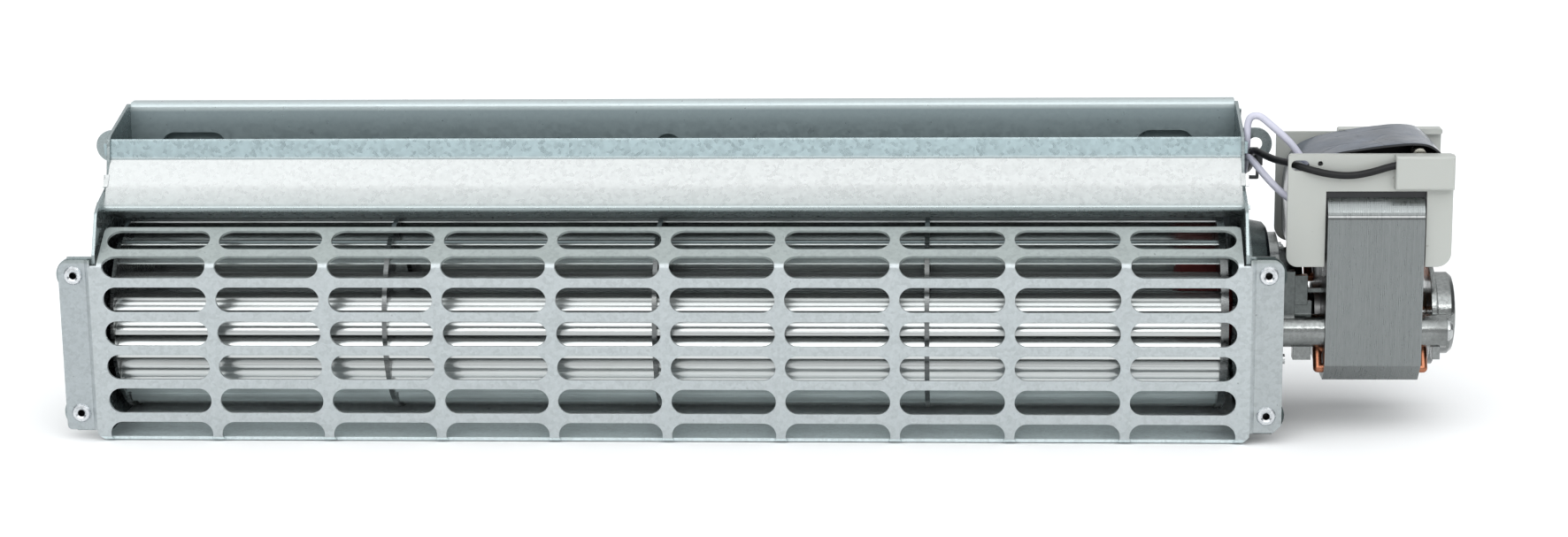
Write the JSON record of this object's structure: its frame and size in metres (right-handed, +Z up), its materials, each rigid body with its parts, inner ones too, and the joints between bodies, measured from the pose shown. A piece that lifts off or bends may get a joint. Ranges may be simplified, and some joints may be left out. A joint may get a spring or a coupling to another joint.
{
  "type": "cross flow fan",
  "caption": "Long tangential blower with a slotted sheet metal inlet grille, a scroll housing open at the top, a bladed drum impeller and a small shaded pole motor at one end.",
  "frame": {"origin": "on the base plane, straight under the impeller shaft, half way between the two side plates", "axes": "+X along the impeller shaft towards the motor, +Y from the inlet grille towards the back wall, +Z up, out through the air outlet"},
  "size_m": [0.4431, 0.074, 0.1001],
  "materials": {
    "galvanised_sheet": "hot dip galvanised, fine spangle, low gloss",
    "guide_sheet": "galvanised, bright and smooth",
    "rivet_aluminium": "satin, as headed",
    "sintered_bronze": "matt, oil soaked",
    "black_rubber": "matt",
    "lamination_steel": "punched edges, lightly oiled",
    "copper": "dull bare copper",
    "bobbin_plastic": "off white moulded nylon",
    "copper_wire": "enamelled",
    "insulating_tape": "clear film over woven tape, wrinkled",
    "fuse_metal": "satin",
    "die_cast_zinc": "as cast, tumbled",
    "zinc_plated_steel": "zinc plated",
    "black_insulation": "satin",
    "white_insulation": "satin",
    "tie_nylon": "natural",
    "blade_aluminium": "bright rolled sheet",
    "shaft_steel": "ground",
    "red_rubber": "matt",
    "rotor_steel": "turned, with cast aluminium end rings"
  },
  "bodies": {
    "housing": {"inlet_grille": "galvanised_sheet", "scroll_back_plate": "galvanised_sheet", "front_guide_plate": "guide_sheet", "side_plate_left": "galvanised_sheet", "side_plate_right": "galvanised_sheet", "grille_rivets": "rivet_aluminium", "bearing_bush_left": "sintered_bronze", "rubber_bearing_ring": "black_rubber", "stator_stack": "lamination_steel", "shading_rings": "copper", "bobbin": "bobbin_plastic", "coil_winding": "copper_wire", "coil_tape": "insulating_tape", "thermal_fuse": "fuse_metal", "motor_bracket_left": "die_cast_zinc", "motor_bracket_right": "die_cast_zinc", "motor_bush_left": "sintered_bronze", "motor_bush_right": "sintered_bronze", "stack_screws": "zinc_plated_steel", "stack_nuts": "zinc_plated_steel", "motor_mount_screws": "zinc_plated_steel", "terminal_block": "bobbin_plastic", "black_lead": "black_insulation", "white_lead_upper": "white_insulation", "white_lead_lower": "white_insulation", "cable_tie": "tie_nylon"},
    "impeller": {"impeller_blades": "blade_aluminium", "middle_discs": "blade_aluminium", "end_disc_left": "blade_aluminium", "end_disc_right": "blade_aluminium", "stub_shaft": "shaft_steel", "drive_hub": "red_rubber", "motor_shaft": "shaft_steel", "rotor": "rotor_steel"}
  },
  "joints": [
    {"name": "impeller_spin", "type": "hinge", "parent": "housing", "child": "impeller", "pos_m": [0, 0, 0.034], "axis": [1, 0, 0], "continuous": true}
  ]
}
